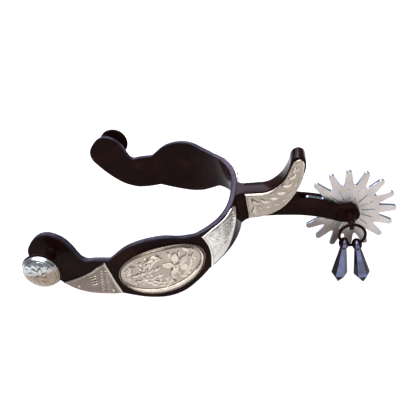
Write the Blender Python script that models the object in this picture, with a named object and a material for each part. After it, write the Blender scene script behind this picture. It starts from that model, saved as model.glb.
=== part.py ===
"""Western spur with a drooping shank, an upswept chap guard, a 16-point rowel and
two jingle bobs. Every physical piece is one closed object.

Frame: origin at the middle of the heel seat, on the inner face of the heel band.
+X runs back to the rowel, +Z is up as worn, -Y is the side that carries the bobs.
Lengths below are millimetres; they become metres when a mesh is made.

The heel band stands upright on a U-shaped plan curve. Everything mounted on it is
laid out flat as (s, z): s is the distance along the band's inner face from the
middle of the heel, z the height. band_point() wraps such a point onto one side.
"""
import bisect
import math

import bmesh
import bpy
import numpy as np
from mathutils import Matrix, Vector

MM = 0.001
GAP = 0.3                       # clearance between pieces that touch

# Heel band plan: a superellipse round the heel, two arms that close in, then parallel tabs
SEAT_DEPTH = 49.9               # heel seat to the widest point
SEAT_HALF_WIDTH = 44.6
SEAT_EXPONENT = 2.5
ARM_CLOSING = 0.07              # the arms close by this much per length
ARM_BEND = 12.0                 # where they turn parallel, from the widest point
ARM_LENGTH = 45.0
BAND_THICKNESS = 3.0
BAND_STATION = 2.5              # spacing of the sections along the band

# Heel band edges, as stretches of (s, z) points that meet in corners
CUSP_REAR = (38.5, 10.3)
CUSP_FRONT = (77.0, 10.3)
NOTCH_REAR = (37.5, -9.3)
NOTCH_FRONT = (76.5, -8.9)
TAB_FRONT = (112.5, 17.0)
TAB_PEAK = (100.4, 27.2)
TOP_EDGE = (
    ((0.0, 8.7), (20.0, 8.9), CUSP_REAR),
    (CUSP_REAR, (45.5, 12.9), (51.5, 15.8), (58.5, 16.9), (67.4, 15.6), CUSP_FRONT),
    (CUSP_FRONT, (84.0, 10.9), (88.8, 11.0)),
    ((88.8, 11.0), (90.0, 12.6), (91.3, 17.6), (94.6, 23.8), TAB_PEAK),
    (TAB_PEAK, (105.6, 26.1), (109.9, 22.6), TAB_FRONT),
)
BOTTOM_EDGE = (
    ((0.0, -8.5), (28.0, -8.5), NOTCH_REAR),
    (NOTCH_REAR, (44.6, -12.5), (50.5, -14.6), (56.9, -15.1), (66.5, -13.0), NOTCH_FRONT),
    (NOTCH_FRONT, (84.0, -8.7), (91.0, -7.5), (97.6, -4.2), (104.6, 2.6), (109.8, 10.0), TAB_FRONT),
)

# Neck, shank and chap guard, in side view (x, z)
NECK_FRONT = BAND_THICKNESS + GAP
NECK_TOP = 8.0
NECK_HALF_WIDTH = 5.0
GUARD_FRONT = 6.6
GUARD_SEAT = 1.0                # height of the notch that the guard is brazed into
SHANK_TOP = ((27.0, 0.7), (31.6, -0.6), (38.9, -2.7), (44.6, -4.7), (50.3, -7.7))
SHANK_BOTTOM = ((NECK_FRONT, -7.8), (8.0, -6.9), (16.6, -6.9), (26.0, -8.4), (35.6, -10.6),
                (41.5, -12.6), (49.6, -16.4))
TINE_HALF_WIDTH = 4.4
TAPER_START = 20.0
TAPER_END = 31.0
SLOT_START = 31.5
SLOT_HALF_WIDTH = 1.8
GUARD_OUTER = ((GUARD_FRONT, NECK_TOP), (12.0, 7.5), (17.6, 7.4), (25.2, 11.6), (29.8, 18.2), (31.2, 21.2),
               (33.4, 22.7))
GUARD_REAR = ((29.4, 2.6), (33.2, 7.6), (35.7, 12.9), (37.5, 18.4), (37.3, 21.2), (35.4, 22.7))

# Rowel, its pin and the jingle bobs
ROWEL_X = 54.25
ROWEL_Z = -12.5
ROWEL_RADIUS = 22.2
ROWEL_TEETH = 16
ROWEL_VALLEY = 14.6
ROWEL_TIP_HALF_WIDTH = 1.45
ROWEL_THICKNESS = 1.8
ROWEL_FIRST_TOOTH = 85.0        # degrees from +X towards +Z
TINE_END_RADIUS = 4.8
PIN_RADIUS = 1.5
PIN_HEAD_RADIUS = 2.3
PIN_COLLAR_RADIUS = 2.1
EYE_CENTRE = (54.0, -11.6, -13.2)
EYE_RADIUS = 2.5
EYE_HOLE_RADIUS = 1.15
EYE_HALF_THICKNESS = 1.1
RING_RADIUS = 6.0
RING_WIRE_RADIUS = 0.7
BOB_HEAD_RADIUS = 2.9
BOB_HEAD_HALF_THICKNESS = 2.1
BOB_HOLE_RADIUS = 1.35
BOB_LENGTH = 24.2               # eye centre to point
BOB_WIDEST_AT = 18.0
BOB_WIDEST_RADIUS = 3.9
BOB_NECK_RADIUS = 1.8
# name: (place on the ring, from its bottom towards +X; lean of the bob from straight down)
BOBS = {"jingle_bob_front": (-44.0, -11.5), "jingle_bob_rear": (17.0, 3.5)}

# Buttons on the tabs
BUTTON_S = 101.2
BUTTON_Z = 17.4
BUTTON_RADIUS = 8.4
BUTTON_POST_RADIUS = 2.3
BUTTON_STANDOFF = 10.0          # tab face to the underside of the button
BUTTON_BASE_THICKNESS = 1.4
BUTTON_DOME = 3.4

# Silver mountings, thickness and layout on the band
SILVER = 0.9
MARGIN = 0.8                    # bare steel left between a mounting and the band's edge
CONCHO_CENTRE = (56.6, 0.6)
CONCHO_SEMI = (17.1, 10.8)
CONCHO_DOME = 1.3
ROPE_WIDTH = 1.1
ROPE_HEIGHT = 1.5
RIVET_RADIUS = 0.6
FRONT_RIVETS = ((79.8, -5.6), (95.4, -1.8))

BROWNED_STEEL = ("browned_steel", (0.030, 0.014, 0.012), 0.9, 0.25)
ROWEL_STEEL = ("satin_rowel_steel", (0.62, 0.58, 0.54), 1.0, 0.35)
ENGRAVED_SILVER = ("engraved_nickel_silver", (0.66, 0.62, 0.54), 1.0, 0.30)
POLISHED_SILVER = ("polished_button_silver", (0.80, 0.80, 0.76), 1.0, 0.15)


# ---------------------------------------------------------------- curves
def edge_height(stretches, s):
    """Height at s of an edge given as stretches of points, smooth inside each one."""
    points = next((p for p in stretches if s <= p[-1][0]), stretches[-1])
    xs = [p[0] for p in points]
    zs = [p[1] for p in points]
    slopes = np.gradient(zs, xs)
    i = min(max(bisect.bisect_right(xs, s) - 1, 0), len(xs) - 2)
    h = xs[i + 1] - xs[i]
    t = min(max((s - xs[i]) / h, 0.0), 1.0)
    start = zs[i] * (2 * t ** 3 - 3 * t ** 2 + 1) + h * slopes[i] * (t ** 3 - 2 * t ** 2 + t)
    end = zs[i + 1] * (3 * t ** 2 - 2 * t ** 3) + h * slopes[i + 1] * (t ** 3 - t ** 2)
    return start + end


def band_top(s):
    return edge_height(TOP_EDGE, s)


def band_bottom(s):
    return edge_height(BOTTOM_EDGE, s)


def spline(points, count):
    """count points, evenly spaced by chord, on a smooth curve through the given ones."""
    pts = np.array(points, float)
    reach = np.r_[0, np.cumsum(np.linalg.norm(np.diff(pts, axis=0), axis=1))]
    slopes = np.gradient(pts, reach, axis=0)
    out = []
    for d in np.linspace(0, reach[-1], count):
        i = min(max(np.searchsorted(reach, d, "right") - 1, 0), len(pts) - 2)
        h = reach[i + 1] - reach[i]
        t = (d - reach[i]) / h
        out.append(pts[i] * (2 * t ** 3 - 3 * t ** 2 + 1) + pts[i + 1] * (3 * t ** 2 - 2 * t ** 3)
                   + h * slopes[i] * (t ** 3 - 2 * t ** 2 + t) + h * slopes[i + 1] * (t ** 3 - t ** 2))
    return np.array(out)


def coons(bottom, top, left, right):
    """Grid of points filling four edge curves; bottom and top run left to right."""
    u = np.linspace(0, 1, len(bottom))[:, None, None]
    v = np.linspace(0, 1, len(left))[None, :, None]
    corners = ((1 - u) * (1 - v) * bottom[0] + u * (1 - v) * bottom[-1]
               + (1 - u) * v * top[0] + u * v * top[-1])
    return ((1 - v) * bottom[:, None] + v * top[:, None]
            + (1 - u) * left[None] + u * right[None] - corners)


def plan_table():
    """Arc length, point and outward normal along the band's inner face, one side."""
    turn = np.linspace(0, math.pi / 2, 240)
    x = SEAT_DEPTH * (np.cos(turn) ** (2 / SEAT_EXPONENT) - 1)
    y = SEAT_HALF_WIDTH * np.sin(turn) ** (2 / SEAT_EXPONENT)
    arm = np.linspace(0.5, ARM_LENGTH, 90)
    x = np.r_[x, -SEAT_DEPTH - arm]
    y = np.r_[y, SEAT_HALF_WIDTH - ARM_CLOSING * np.minimum(arm, ARM_BEND)]
    length = np.r_[0, np.cumsum(np.hypot(np.diff(x), np.diff(y)))]
    even = np.linspace(0, length[-1], 600)
    x = np.interp(even, length, x)
    y = np.interp(even, length, y)
    dx, dy = np.gradient(x), np.gradient(y)
    size = np.hypot(dx, dy)
    return even, x, y, dy / size, -dx / size


PLAN = plan_table()


def band_point(s, z, out, side=1):
    """Point at (s, z) on the given side, standing out from the band's inner face."""
    length, x, y, nx, ny = PLAN
    far = abs(s)
    px, py = np.interp(far, length, x), np.interp(far, length, y)
    mx, my = np.interp(far, length, nx), np.interp(far, length, ny)
    flip = math.copysign(1, side * s) if s else side
    return (px + out * mx, flip * (py + out * my), z)


# ---------------------------------------------------------------- meshes
def material(recipe):
    name, colour, metallic, roughness = recipe
    found = bpy.data.materials.get(name)
    if found:
        return found
    made = bpy.data.materials.new(name)
    made.use_nodes = True
    shader = made.node_tree.nodes["Principled BSDF"]
    shader.inputs["Base Color"].default_value = (*colour, 1)
    shader.inputs["Metallic"].default_value = metallic
    shader.inputs["Roughness"].default_value = roughness
    return made


def make_object(name, bm, recipe, origin=(0, 0, 0)):
    """Turn a bmesh in millimetres into a named object whose origin is at origin."""
    bmesh.ops.remove_doubles(bm, verts=bm.verts, dist=0.004)
    bmesh.ops.recalc_face_normals(bm, faces=bm.faces)
    bmesh.ops.translate(bm, verts=bm.verts, vec=-Vector(origin))
    bmesh.ops.scale(bm, verts=bm.verts, vec=(MM, MM, MM))
    mesh = bpy.data.meshes.new(name)
    bm.to_mesh(mesh)
    bm.free()
    mesh.shade_smooth()
    mesh.set_sharp_from_angle(angle=math.radians(30))
    mesh.materials.append(material(recipe))
    obj = bpy.data.objects.new(name, mesh)
    obj.location = Vector(origin) * MM
    bpy.context.collection.objects.link(obj)
    return obj


def loft(rings):
    """Closed body through rings of points, capped at both ends."""
    bm = bmesh.new()
    loops = [[bm.verts.new(p) for p in ring] for ring in rings]
    for a, b in zip(loops, loops[1:]):
        for i in range(len(a)):
            j = (i + 1) % len(a)
            bm.faces.new((a[i], a[j], b[j], b[i]))
    bm.faces.new(loops[0])
    bm.faces.new(loops[-1])
    return bm


def closed_loft(rings):
    """Ring-shaped body: the last ring joins the first."""
    bm = bmesh.new()
    loops = [[bm.verts.new(p) for p in ring] for ring in rings]
    for a, b in zip(loops, loops[1:] + loops[:1]):
        for i in range(len(a)):
            j = (i + 1) % len(a)
            bm.faces.new((a[i], a[j], b[j], b[i]))
    return bm


def plate(inner, outer):
    """Closed body between two grids of points, with walls round the border."""
    bm = bmesh.new()
    rows, columns = len(inner), len(inner[0])
    low = [[bm.verts.new(p) for p in line] for line in inner]
    high = [[bm.verts.new(p) for p in line] for line in outer]
    for i in range(rows - 1):
        for j in range(columns - 1):
            bm.faces.new((low[i][j], low[i][j + 1], low[i + 1][j + 1], low[i + 1][j]))
            bm.faces.new((high[i][j], high[i + 1][j], high[i + 1][j + 1], high[i][j + 1]))
    border = [(i, 0) for i in range(rows - 1)]
    border += [(rows - 1, j) for j in range(columns - 1)]
    border += [(i, columns - 1) for i in range(rows - 1, 0, -1)]
    border += [(0, j) for j in range(columns - 1, 0, -1)]
    for (i, j), (k, m) in zip(border, border[1:] + border[:1]):
        bm.faces.new((low[i][j], low[k][m], high[k][m], high[i][j]))
    return bm


def turned(profile, sides, place=Matrix.Identity(4)):
    """Body turned about local Z from (radius, height) points; place sets it down."""
    rings = []
    for radius, height in profile:
        ring = []
        for k in range(sides):
            turn = 2 * math.pi * k / sides
            ring.append(place @ Vector((radius * math.cos(turn), radius * math.sin(turn), height)))
        rings.append(ring)
    return loft(rings)


def side_loft(top, bottom, half_widths):
    """Body of upright sections along X between a top and a bottom line."""
    rings = []
    for (xt, zt), (xb, zb), half in zip(top, bottom, half_widths):
        rings.append([(xt, -half, zt), (xt, half, zt), (xb, half, zb), (xb, -half, zb)])
    return loft(rings)


def cutter(name, bm):
    obj = make_object(name, bm, BROWNED_STEEL)
    obj.hide_render = True
    obj.display_type = "WIRE"
    return obj


def cut(obj, tool):
    modifier = obj.modifiers.new("cut_" + tool.name, "BOOLEAN")
    modifier.operation = "DIFFERENCE"
    modifier.object = tool


def along(axis):
    """Rotation that turns local Z onto the axis."""
    return Vector(axis).to_track_quat("Z", "Y").to_matrix().to_4x4()


# ---------------------------------------------------------------- steel frame
def band_stations():
    stops = [0.0, CUSP_REAR[0], CUSP_FRONT[0], NOTCH_REAR[0], NOTCH_FRONT[0], 88.8, 90.2, TAB_PEAK[0]]
    stops += list(np.arange(BAND_STATION, 108.0, BAND_STATION))
    stops += [TAB_FRONT[0] - 3.2 * (1 - math.sin(a)) for a in np.linspace(0.2, 1.45, 5)]
    stops = sorted(stops)
    kept = [s for s, after in zip(stops, stops[1:]) if after - s > 0.35] + [TAB_FRONT[0] - 0.02]
    return [-s for s in reversed(kept)] + kept[1:]


def heel_band():
    inner, outer = [], []
    for s in band_stations():
        heights = (band_bottom(abs(s)), band_top(abs(s)))
        inner.append([band_point(s, z, 0) for z in heights])
        outer.append([band_point(s, z, BAND_THICKNESS) for z in heights])
    band = make_object("heel_band", plate(inner, outer), BROWNED_STEEL)
    for label, side in (("left", -1), ("right", 1)):
        drill = [(BUTTON_POST_RADIUS + GAP, -4), (BUTTON_POST_RADIUS + GAP, 4)]
        cut(band, cutter(label + "_stud_hole_cutter", turned(drill, 24, button_place(side))))


def shank():
    """Neck, notched for the guard, and the drooping shank, forked round the rowel."""
    step = GUARD_FRONT - GAP
    floor = GUARD_SEAT - GAP
    seat = [(NECK_FRONT, NECK_TOP), (step, NECK_TOP), (step, floor), (13.0, floor), (TAPER_START, floor)]
    top = np.vstack([seat, spline(SHANK_TOP, 10)])
    bottom = spline(SHANK_BOTTOM, 14)
    bottom = np.vstack([bottom[0], bottom[1], bottom[1] + (0.2, 0), bottom[2:]])
    end = [(ROWEL_X + TINE_END_RADIUS * math.cos(a), ROWEL_Z - 0.3 + TINE_END_RADIUS * math.sin(a))
           for a in np.radians((74, 50, 28, 8))]
    under = [(ROWEL_X + TINE_END_RADIUS * math.cos(a), ROWEL_Z - 0.3 + TINE_END_RADIUS * math.sin(a))
             for a in np.radians((-88, -62, -36, -12))]
    top = np.vstack([top, end])
    bottom = np.vstack([bottom, under])
    widths = np.interp(top[:, 0], (TAPER_START, TAPER_END), (NECK_HALF_WIDTH, TINE_HALF_WIDTH))
    body = make_object("shank", side_loft(top, bottom, widths), BROWNED_STEEL)
    slot = [(SLOT_START + SLOT_HALF_WIDTH * (1 - math.cos(a)), SLOT_HALF_WIDTH * math.sin(a))
            for a in np.linspace(-math.pi / 2, math.pi / 2, 9)]
    slot = [(ROWEL_X + 12, -SLOT_HALF_WIDTH)] + slot + [(ROWEL_X + 12, SLOT_HALF_WIDTH)]
    cut(body, cutter("slot_cutter", loft([[(x, y, z) for x, y in slot] for z in (-30, 10)])))
    drill = Matrix.Translation((ROWEL_X, 0, ROWEL_Z)) @ along((0, 1, 0))
    cut(body, cutter("pin_hole_cutter", turned([(PIN_RADIUS + GAP, -8), (PIN_RADIUS + GAP, 8)], 20, drill)))


def chap_guard():
    """Upswept guard, seated in the neck's notch and curling up behind the heel."""
    outer = spline(GUARD_OUTER, 16)
    foot = ((GUARD_FRONT, GUARD_SEAT), (18.0, GUARD_SEAT), (26.4, GUARD_SEAT))
    rear = np.vstack([spline(foot, 5)[:-1], spline((foot[-1],) + GUARD_REAR, 12)])
    make_object("chap_guard", side_loft(outer, rear, [NECK_HALF_WIDTH] * 16), BROWNED_STEEL)


# ---------------------------------------------------------------- silver mountings
def band_mounting(name, grid, side, heights):
    """Silver plate on the band's outer face; heights is its thickness over the grid."""
    base = BAND_THICKNESS + GAP
    inner = [[band_point(s, z, base, side) for s, z in line] for line in grid]
    outer = [[band_point(s, z, base + h, side) for (s, z), h in zip(line, high)]
             for line, high in zip(grid, heights)]
    make_object(name, plate(inner, outer), ENGRAVED_SILVER)


def edge_bevel(rows, columns):
    """Full thickness inside, thinner along the border."""
    heights = np.full((rows, columns), SILVER)
    heights[0] = heights[-1] = SILVER * 0.55
    heights[:, 0] = heights[:, -1] = SILVER * 0.55
    return heights


def front_mounting(label, side):
    """Pointed leaf in front of the lobe, its long foot along the band's lower edge."""
    top = spline(((78.7, 9.9), (82.4, 8.2), (86.6, 5.4), (91.0, 3.9), (96.2, 2.2), (101.8, 1.0)), 11)
    s_low = np.linspace(76.2, 102.0, 11)
    bottom = np.array([(s, band_bottom(s) + MARGIN) for s in s_low])
    left = spline((tuple(bottom[0]), (77.3, -2.3), (77.8, 3.0), tuple(top[0])), 5)
    right = np.linspace(bottom[-1], top[-1], 5)
    band_mounting(label + "_front_mounting", coons(bottom, top, left, right), side, edge_bevel(11, 5))


def rear_mounting(label, side):
    """Fishtail between the neck and the concho, hollowed along the concho's edge."""
    top = spline(((12.2, 6.9), (15.0, 8.0), (24.0, 8.4), (33.0, 9.0), (37.4, 8.6)), 11)
    bottom = spline(((12.4, 6.3), (13.4, 4.0), (15.6, 1.0), (18.6, -1.4), (22.4, -3.8), (27.0, -6.2),
                     (31.6, -7.6), (37.0, -8.6)), 11)
    left = np.linspace(bottom[0], top[0], 5)
    right = spline((tuple(bottom[-1]), (35.7, -2.6), (35.7, 2.0), tuple(top[-1])), 5)
    band_mounting(label + "_rear_mounting", coons(bottom, top, left, right), side, edge_bevel(11, 5))


def oval(radius_s, radius_z, turn):
    return CONCHO_CENTRE[0] + radius_s * math.cos(turn), CONCHO_CENTRE[1] + radius_z * math.sin(turn)


def concho(label, side):
    """Domed oval, laid out as a square grid rounded into an ellipse."""
    grid, heights = [], []
    for u in np.linspace(-1, 1, 15):
        line, high = [], []
        for v in np.linspace(-1, 1, 11):
            x, y = u * math.sqrt(1 - v * v / 2), v * math.sqrt(1 - u * u / 2)
            line.append((CONCHO_CENTRE[0] + CONCHO_SEMI[0] * x, CONCHO_CENTRE[1] + CONCHO_SEMI[1] * y))
            high.append(SILVER + CONCHO_DOME * max(0.0, 1 - x * x - y * y) ** 0.7)
        grid.append(line)
        heights.append(high)
    band_mounting(label + "_concho", grid, side, heights)


def concho_rope(label, side):
    """Milled edge wire round the concho."""
    inner = BAND_THICKNESS + GAP
    rings = []
    for turn in np.linspace(0, 2 * math.pi, 40, endpoint=False):
        near = oval(CONCHO_SEMI[0] + GAP, CONCHO_SEMI[1] + GAP, turn)
        far = oval(CONCHO_SEMI[0] + GAP + ROPE_WIDTH, CONCHO_SEMI[1] + GAP + ROPE_WIDTH, turn)
        rings.append([band_point(*near, inner, side), band_point(*near, inner + ROPE_HEIGHT, side),
                      band_point(*far, inner + ROPE_HEIGHT * 0.7, side), band_point(*far, inner, side)])
    make_object(label + "_concho_rope", closed_loft(rings), ENGRAVED_SILVER)


def mounting_rivets(label, side):
    for end, (s, z) in zip(("rear", "front"), FRONT_RIVETS):
        foot = Vector(band_point(s, z, BAND_THICKNESS + GAP + SILVER + 0.15, side))
        tip = Vector(band_point(s, z, BAND_THICKNESS + GAP + SILVER + 1.15, side))
        place = Matrix.Translation(foot) @ along(tip - foot)
        profile = [(RIVET_RADIUS, 0), (RIVET_RADIUS * 0.8, 0.25), (RIVET_RADIUS * 0.3, 0.4)]
        make_object(f"{label}_mounting_rivet_{end}", turned(profile, 10, place), ENGRAVED_SILVER)


def guard_mounting(label, side):
    """Crescent on the side of the neck and guard, up to just below the guard's tip."""
    top = spline(((7.1, 7.6), (17.9, 7.0), (26.0, 11.5), (30.6, 18.2), (33.0, 21.3)), 13)
    bottom = spline(((6.5, -6.4), (13.0, -6.3), (22.2, -3.4), (30.3, 3.9), (34.9, 12.2), (36.8, 18.8)), 13)
    left = np.linspace(bottom[0], top[0], 5)
    right = spline((tuple(bottom[-1]), (35.6, 21.3), tuple(top[-1])), 5)
    grid = coons(bottom, top, left, right)
    heights = edge_bevel(13, 5)
    face = NECK_HALF_WIDTH + GAP
    inner = [[(x, side * face, z) for x, z in line] for line in grid]
    outer = [[(x, side * (face + h), z) for (x, z), h in zip(line, high)]
             for line, high in zip(grid, heights)]
    make_object(label + "_guard_mounting", plate(inner, outer), ENGRAVED_SILVER)


# ---------------------------------------------------------------- buttons
def button_place(side):
    """Foot of a button, on the tab's outer face, with local Z standing out from it."""
    foot = Vector(band_point(BUTTON_S, BUTTON_Z, BAND_THICKNESS, side))
    tip = Vector(band_point(BUTTON_S, BUTTON_Z, BAND_THICKNESS + 1, side))
    return Matrix.Translation(foot) @ along(tip - foot)


def button(label, side):
    """Strap button; its post is riveted flush through a hole in the tab."""
    place = button_place(side)
    base = BUTTON_STANDOFF
    post = [(BUTTON_POST_RADIUS, -BAND_THICKNESS), (BUTTON_POST_RADIUS, base - 1.5),
            (BUTTON_POST_RADIUS + 0.8, base - GAP)]
    make_object(label + "_button_post", turned(post, 24, place), BROWNED_STEEL)
    top = base + BUTTON_BASE_THICKNESS
    disc = [(BUTTON_RADIUS - 1.6, base), (BUTTON_RADIUS - 0.3, base + 0.5), (BUTTON_RADIUS, top - 0.3),
            (BUTTON_RADIUS - 0.2, top)]
    make_object(label + "_button_base", turned(disc, 28, place), BROWNED_STEEL)
    rim = BUTTON_RADIUS - 0.5
    dome = [(rim, top + GAP), (rim, top + GAP + 0.5)]
    dome += [(rim * math.cos(a), top + GAP + 0.5 + BUTTON_DOME * math.sin(a)) for a in (0.4, 0.8, 1.15)]
    dome += [(0.8, top + GAP + 0.5 + BUTTON_DOME)]
    make_object(label + "_button_cap", turned(dome, 28, place), POLISHED_SILVER)


# ---------------------------------------------------------------- rowel and jingles
def rowel_outline():
    """Sixteen blunt petals: rounded valleys, straight flanks and rounded tips."""
    points = []
    pitch = 2 * math.pi / ROWEL_TEETH
    centre = ROWEL_RADIUS - ROWEL_TIP_HALF_WIDTH
    for k in range(ROWEL_TEETH):
        middle = math.radians(ROWEL_FIRST_TOOTH) + k * pitch
        along_tooth = Vector((math.cos(middle), math.sin(middle)))
        across = Vector((-along_tooth.y, along_tooth.x))
        tip = [(centre + ROWEL_TIP_HALF_WIDTH * math.sin(a), -ROWEL_TIP_HALF_WIDTH * math.cos(a))
               for a in np.radians((0, 45, 90, 135, 180))]
        for reach, sideways in tip:
            points.append(reach * along_tooth + sideways * across)
        for step in (0.40, 0.60):
            turn = middle + step * pitch
            points.append(Vector((math.cos(turn), math.sin(turn))) * ROWEL_VALLEY)
    return points


def rowel():
    half = ROWEL_THICKNESS / 2
    hole = PIN_RADIUS + GAP
    rings = []
    for x, z in rowel_outline():
        unit = Vector((x, z)).normalized()
        rings.append([(ROWEL_X + x, -half, ROWEL_Z + z), (ROWEL_X + x, half, ROWEL_Z + z),
                      (ROWEL_X + unit.x * hole, half, ROWEL_Z + unit.y * hole),
                      (ROWEL_X + unit.x * hole, -half, ROWEL_Z + unit.y * hole)])
    make_object("rowel", closed_loft(rings), ROWEL_STEEL, (ROWEL_X, 0, ROWEL_Z))


def rowel_pin():
    """Pin peened on the far side; its near end is drawn out into an eye."""
    face = TINE_HALF_WIDTH + GAP
    eye_x, eye_y, eye_z = EYE_CENTRE
    profile = [(PIN_HEAD_RADIUS * 0.6, face + 1.3), (PIN_HEAD_RADIUS, face + 0.7), (PIN_HEAD_RADIUS, face),
               (PIN_RADIUS, face), (PIN_RADIUS, -face), (PIN_COLLAR_RADIUS, -face),
               (PIN_COLLAR_RADIUS, -face - 2.4), (PIN_RADIUS, eye_y + 1.6), (PIN_RADIUS, eye_y + 1.2)]
    place = Matrix.Translation((ROWEL_X, 0, ROWEL_Z)) @ Matrix.Rotation(-math.pi / 2, 4, "X")
    pin = make_object("rowel_pin", turned(profile, 20, place), BROWNED_STEEL)
    middle = Matrix.Translation(EYE_CENTRE) @ along((1, 0, 0))
    eye_profile = [(EYE_RADIUS - 0.5, -EYE_HALF_THICKNESS), (EYE_RADIUS, -EYE_HALF_THICKNESS + 0.5),
                   (EYE_RADIUS, EYE_HALF_THICKNESS - 0.5), (EYE_RADIUS - 0.5, EYE_HALF_THICKNESS)]
    eye = cutter("eye_blank", turned(eye_profile, 24, middle))
    joined = pin.modifiers.new("join_eye", "BOOLEAN")
    joined.operation = "UNION"
    joined.object = eye
    hole = [(EYE_HOLE_RADIUS, -4), (EYE_HOLE_RADIUS, 4)]
    cut(pin, cutter("eye_hole_cutter", turned(hole, 16, middle)))


def ring_centre():
    return Vector(EYE_CENTRE) - Vector((0, 0, RING_RADIUS))


def jingle_ring():
    rings = []
    for turn in np.linspace(0, 2 * math.pi, 32, endpoint=False):
        radial = Vector((math.cos(turn), 0, math.sin(turn)))
        ring = []
        for a in np.linspace(0, 2 * math.pi, 8, endpoint=False):
            offset = radial * math.cos(a) + Vector((0, 1, 0)) * math.sin(a)
            ring.append(ring_centre() + radial * RING_RADIUS + offset * RING_WIRE_RADIUS)
        rings.append(ring)
    make_object("jingle_ring", closed_loft(rings), BROWNED_STEEL, EYE_CENTRE)


def bob_section(radius, height, squash, facets):
    """One level of a bob: an ellipse in the eye, a hexagon in the body."""
    ring = []
    for k in range(24):
        turn = 2 * math.pi * k / 24
        reach = radius
        if facets:
            reach = radius * math.cos(math.pi / 6) / math.cos(turn % (math.pi / 3) - math.pi / 6)
        ring.append(Vector((reach * squash * math.cos(turn), reach * math.sin(turn), height)))
    return ring


def jingle_bob(name, place_angle, lean):
    """Six-sided drop on an eye that hangs round the ring's wire."""
    place_angle, lean = math.radians(place_angle), math.radians(lean)
    eye = ring_centre() + RING_RADIUS * Vector((math.sin(place_angle), 0, -math.cos(place_angle)))
    set_down = Matrix.Translation(eye) @ Matrix.Rotation(-lean, 4, "Y")
    squash = BOB_HEAD_HALF_THICKNESS / BOB_HEAD_RADIUS
    levels = []
    for a in np.radians((80, 55, 30, 5, -20, -45)):
        levels.append(bob_section(BOB_HEAD_RADIUS * math.cos(a), BOB_HEAD_RADIUS * math.sin(a), squash, False))
    levels.append(bob_section(BOB_NECK_RADIUS, -BOB_HEAD_RADIUS, 1, True))
    levels.append(bob_section(BOB_WIDEST_RADIUS, -BOB_WIDEST_AT, 1, True))
    levels.append(bob_section(BOB_WIDEST_RADIUS * 0.97, -BOB_WIDEST_AT - 0.8, 1, True))
    levels.append(bob_section(0.3, -BOB_LENGTH, 1, True))
    bob = make_object(name, loft([[set_down @ p for p in level] for level in levels]), BROWNED_STEEL, eye)
    tangent = (math.cos(place_angle), 0, math.sin(place_angle))
    hole = turned([(BOB_HOLE_RADIUS, -5), (BOB_HOLE_RADIUS, 5)], 16, Matrix.Translation(eye) @ along(tangent))
    cut(bob, cutter(name + "_hole_cutter", hole))


def main():
    for obj in list(bpy.data.objects):
        bpy.data.objects.remove(obj, do_unlink=True)
    heel_band()
    shank()
    chap_guard()
    for label, side in (("left", -1), ("right", 1)):
        front_mounting(label, side)
        mounting_rivets(label, side)
        concho(label, side)
        concho_rope(label, side)
        rear_mounting(label, side)
        guard_mounting(label, side)
        button(label, side)
    rowel()
    rowel_pin()
    jingle_ring()
    for name, (place_angle, lean) in BOBS.items():
        jingle_bob(name, place_angle, lean)


main()
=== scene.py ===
"""Looks for the western spur: browned steel, engraved nickel silver, a satin rowel.

Every CAD node is replaced by a finer mesh of the same shape, in the same place.
Lengths are millimetres and become metres when a mesh is made. Mountings are laid out
flat, as (s, z) on the band and as (x, z) on the guard, engraved there as a height
field, and then wrapped into place.
"""

import math

import bmesh
import bpy
import numpy as np
from mathutils import Matrix, Vector


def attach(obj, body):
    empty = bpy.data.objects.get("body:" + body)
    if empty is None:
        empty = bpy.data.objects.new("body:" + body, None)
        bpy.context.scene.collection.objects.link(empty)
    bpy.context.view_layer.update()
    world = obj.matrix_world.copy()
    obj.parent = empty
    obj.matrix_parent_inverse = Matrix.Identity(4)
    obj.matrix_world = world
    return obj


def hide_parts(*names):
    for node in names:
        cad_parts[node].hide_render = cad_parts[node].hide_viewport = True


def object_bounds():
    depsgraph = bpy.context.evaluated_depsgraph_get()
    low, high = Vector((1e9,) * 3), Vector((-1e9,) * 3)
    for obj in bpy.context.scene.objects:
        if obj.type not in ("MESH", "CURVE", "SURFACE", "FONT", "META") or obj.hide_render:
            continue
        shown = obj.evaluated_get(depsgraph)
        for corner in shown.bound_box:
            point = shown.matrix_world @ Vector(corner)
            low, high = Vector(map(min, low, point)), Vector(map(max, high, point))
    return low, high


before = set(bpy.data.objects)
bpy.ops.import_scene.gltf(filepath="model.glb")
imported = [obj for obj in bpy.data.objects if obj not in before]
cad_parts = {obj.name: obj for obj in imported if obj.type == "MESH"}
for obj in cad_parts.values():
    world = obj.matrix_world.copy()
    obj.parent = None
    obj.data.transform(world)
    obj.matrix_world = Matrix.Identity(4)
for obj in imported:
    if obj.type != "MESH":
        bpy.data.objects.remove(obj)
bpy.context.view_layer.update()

MM = 0.001

# Heel band: plan curve and the outline of one side, as smooth stretches of (s, z)
SEAT_DEPTH, SEAT_HALF_WIDTH, SEAT_EXPONENT = 49.9, 44.6, 2.5
ARM_CLOSING, ARM_BEND, ARM_LENGTH = 0.07, 12.0, 45.0
BAND_THICKNESS, BAND_ROUNDING = 3.0, 0.6
BAND_STEP, BAND_LEVELS = 0.9, 32
EDGE_WEAR_AND_SHEEN = 0.16                # how much of the band's edges shows lilac bare metal: edge wear, partly a painted highlight
CUSP_REAR, CUSP_FRONT = (38.5, 10.3), (77.0, 10.3)
NOTCH_REAR, NOTCH_FRONT = (37.5, -9.3), (76.5, -8.9)
TAB_FRONT, TAB_PEAK = (112.5, 17.0), (100.4, 27.2)
HEEL_TOP = ((0.0, 8.7), (20.0, 8.9), CUSP_REAR)
LOBE_TOP = (CUSP_REAR, (45.5, 12.9), (51.5, 15.8), (58.5, 16.9), (67.4, 15.6), CUSP_FRONT)
TAB_TOP = (CUSP_FRONT, (84.0, 10.9), (87.9, 11.0), (89.9, 12.6), (91.3, 17.6), (94.6, 23.8), TAB_PEAK,
           (105.6, 26.1), (109.9, 22.6), (111.8, 19.9), TAB_FRONT)
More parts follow.
